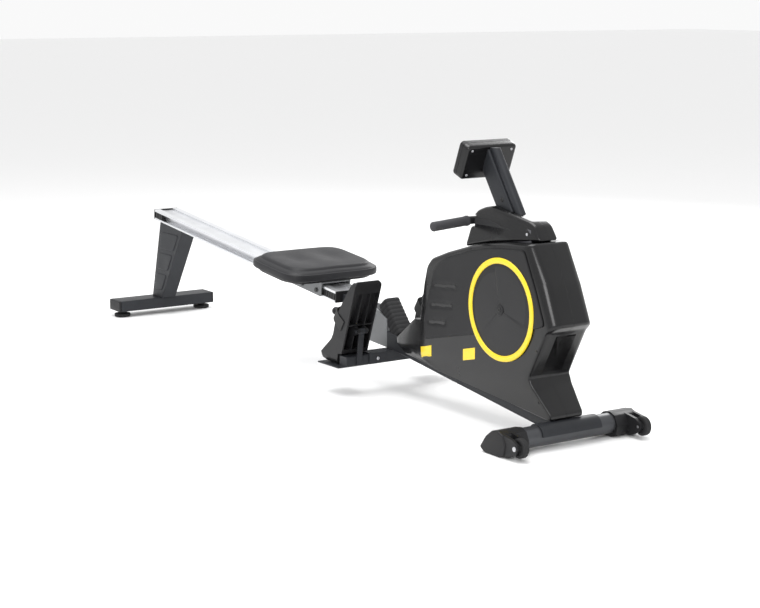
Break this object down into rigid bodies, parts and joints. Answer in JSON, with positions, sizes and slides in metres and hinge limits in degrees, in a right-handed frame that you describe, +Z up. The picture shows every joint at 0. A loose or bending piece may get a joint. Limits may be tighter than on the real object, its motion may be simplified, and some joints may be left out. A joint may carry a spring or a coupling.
{
  "type": "rowing machine",
  "caption": "Folding magnetic rowing machine: flywheel housing with pull handle and console, pivoting footplates, and a sliding seat on an inclined aluminium rail.",
  "frame": {"origin": "on the floor under the middle of the machine's bounding box", "axes": "+X towards the flywheel and transport wheels, +Y to the machine's left side, +Z up"},
  "size_m": [2.468, 0.459, 0.7756],
  "materials": {
    "frame_steel": "satin graphite powder coat",
    "housing_black": "glossy black moulding",
    "panel_black": "fine-textured black moulding",
    "accent_yellow": "satin yellow",
    "rail_aluminium": "satin anodised, drawn along its length",
    "rubber_black": "matt",
    "seat_vinyl": "grained black vinyl over foam",
    "grip_foam": "soft foam",
    "strap_webbing": "woven nylon",
    "steel_bright": "zinc plated",
    "flywheel_iron": "machined rim",
    "magnet_nickel": "nickel plated",
    "belt_rubber": "ribbed",
    "screen_lens": "smoked window",
    "button_grey": "soft touch",
    "plate_steel": "dark primer"
  },
  "bodies": {
    "frame": {"front_stabiliser": "frame_steel", "front_caps": "panel_black", "wheel_axles": "steel_bright", "main_beam": "frame_steel", "neck_post": "panel_black", "hinge_bracket": "frame_steel", "pedal_crossbar": "frame_steel", "axle_plates": "plate_steel", "drive_shafts": "steel_bright", "recoil_spring": "steel_bright", "drive_belt": "belt_rubber", "housing_left": "housing_black", "housing_right": "housing_black", "side_panels": "panel_black", "trim_rings": "accent_yellow", "disc_covers": "panel_black", "chin_cover": "housing_black", "top_cover_cheeks": "housing_black", "top_cover_band": "housing_black", "cover_screws": "steel_bright", "mast": "frame_steel", "console_back": "panel_black", "console_front": "panel_black", "console_lens": "screen_lens", "strap_return": "strap_webbing", "pedal_brackets": "steel_bright", "fold_bolt": "steel_bright"},
    "wheel_left": {"transport_wheel_left": "rubber_black"},
    "wheel_right": {"transport_wheel_right": "rubber_black"},
    "flywheel": {"flywheel": "flywheel_iron", "flywheel_bearings": "steel_bright"},
    "reel": {"strap_reel": "panel_black"},
    "guide_roller": {"idler_roller": "panel_black"},
    "brake": {"magnet_bracket": "plate_steel", "brake_magnets": "magnet_nickel"},
    "handle": {"handle_bar": "steel_bright", "handle_grips": "grip_foam", "pull_strap": "strap_webbing"},
    "knob": {"resistance_knob": "panel_black"},
    "button_left": {"console_button_left": "button_grey"},
    "button_middle": {"console_button_middle": "button_grey"},
    "button_right": {"console_button_right": "button_grey"},
    "rail": {"fold_arm": "frame_steel", "rail": "rail_aluminium", "rail_ends": "rubber_black", "rear_leg": "frame_steel", "rear_stabiliser": "frame_steel", "rear_caps": "panel_black", "rear_feet": "rubber_black"},
    "lock": {"lock_knob": "panel_black"},
    "seat": {"seat_carriage": "frame_steel", "roller_bolts": "steel_bright", "seat_base": "panel_black", "seat_pad": "seat_vinyl"},
    "rollers_front": {"seat_rollers_front": "rubber_black"},
    "rollers_rear": {"seat_rollers_rear": "rubber_black"},
    "pedal_left": {"pedal_left": "panel_black", "pedal_strap_left": "strap_webbing"},
    "pedal_right": {"pedal_right": "panel_black", "pedal_strap_right": "strap_webbing"}
  },
  "joints": [
    {"name": "wheel_left_spin", "type": "hinge", "parent": "frame", "child": "wheel_left", "pos_m": [1.208, 0.207, 0.035], "axis": [0, 1, 0], "continuous": true},
    {"name": "wheel_right_spin", "type": "hinge", "parent": "frame", "child": "wheel_right", "pos_m": [1.208, -0.207, 0.035], "axis": [0, 1, 0], "continuous": true},
    {"name": "flywheel_spin", "type": "hinge", "parent": "frame", "child": "flywheel", "pos_m": [0.947, 0, 0.3375], "axis": [0, 1, 0], "continuous": true},
    {"name": "handle_pull", "type": "slide", "parent": "frame", "child": "handle", "axis": [-1, 0, 0], "range_m": [0, 0.22], "stiffness_N_per_m": 60},
    {"name": "reel_spin", "type": "hinge", "parent": "frame", "child": "reel", "pos_m": [0.735, 0, 0.32], "axis": [0, 1, 0], "range_deg": [0, 480]},
    {"name": "guide_roller_spin", "type": "hinge", "parent": "frame", "child": "guide_roller", "pos_m": [1.008, 0, 0.544], "axis": [0, -1, 0], "range_deg": [0, 960]},
    {"name": "resistance_turn", "type": "hinge", "parent": "frame", "child": "knob", "pos_m": [0.54, 0, 0.326], "axis": [-0.9732, 0, 0.23], "range_deg": [0, 300]},
    {"name": "brake_swing", "type": "hinge", "parent": "frame", "child": "brake", "pos_m": [0.92891, 0, 0.20877], "axis": [0, -1, 0], "range_deg": [0, 6.5]},
    {"name": "button_left_press", "type": "slide", "parent": "frame", "child": "button_left", "axis": [0.9272, 0, -0.3746], "range_m": [0, 0.002], "stiffness_N_per_m": 300},
    {"name": "button_middle_press", "type": "slide", "parent": "frame", "child": "button_middle", "axis": [0.9272, 0, -0.3746], "range_m": [0, 0.002], "stiffness_N_per_m": 300},
    {"name": "button_right_press", "type": "slide", "parent": "frame", "child": "button_right", "axis": [0.9272, 0, -0.3746], "range_m": [0, 0.002], "stiffness_N_per_m": 300},
    {"name": "rail_fold", "type": "hinge", "parent": "frame", "child": "rail", "pos_m": [0.262, 0, 0.212], "axis": [0, 1, 0], "range_deg": [0, 80]},
    {"name": "lock_push", "type": "slide", "parent": "frame", "child": "lock", "axis": [0, -1, 0], "range_m": [-0.01, 0]},
    {"name": "seat_slide", "type": "slide", "parent": "rail", "child": "seat", "axis": [-0.9945, 0, 0.1045], "range_m": [0, 0.9]},
    {"name": "rollers_front_spin", "type": "hinge", "parent": "seat", "child": "rollers_front", "pos_m": [-0.0136, 0, 0.25427], "axis": [0, -1, 0], "range_deg": [0, 4100]},
    {"name": "rollers_rear_spin", "type": "hinge", "parent": "seat", "child": "rollers_rear", "pos_m": [-0.17869, 0, 0.27163], "axis": [0, -1, 0], "range_deg": [0, 4100]},
    {"name": "pedal_left_tilt", "type": "hinge", "parent": "frame", "child": "pedal_left", "pos_m": [0.383, 0.145, 0.197], "axis": [0, 1, 0], "range_deg": [0, 15]},
    {"name": "pedal_right_tilt", "type": "hinge", "parent": "frame", "child": "pedal_right", "pos_m": [0.383, -0.145, 0.197], "axis": [0, 1, 0], "range_deg": [0, 15]}
  ],
  "couplings": [
    {"joint": "reel_spin", "follows": "handle_pull", "rad_per_m": 36.63},
    {"joint": "guide_roller_spin", "follows": "handle_pull", "rad_per_m": 75.188},
    {"joint": "brake_swing", "follows": "resistance_turn", "ratio": 0.02},
    {"joint": "rollers_front_spin", "follows": "seat_slide", "rad_per_m": 78.125},
    {"joint": "rollers_rear_spin", "follows": "seat_slide", "rad_per_m": 78.125}
  ]
}
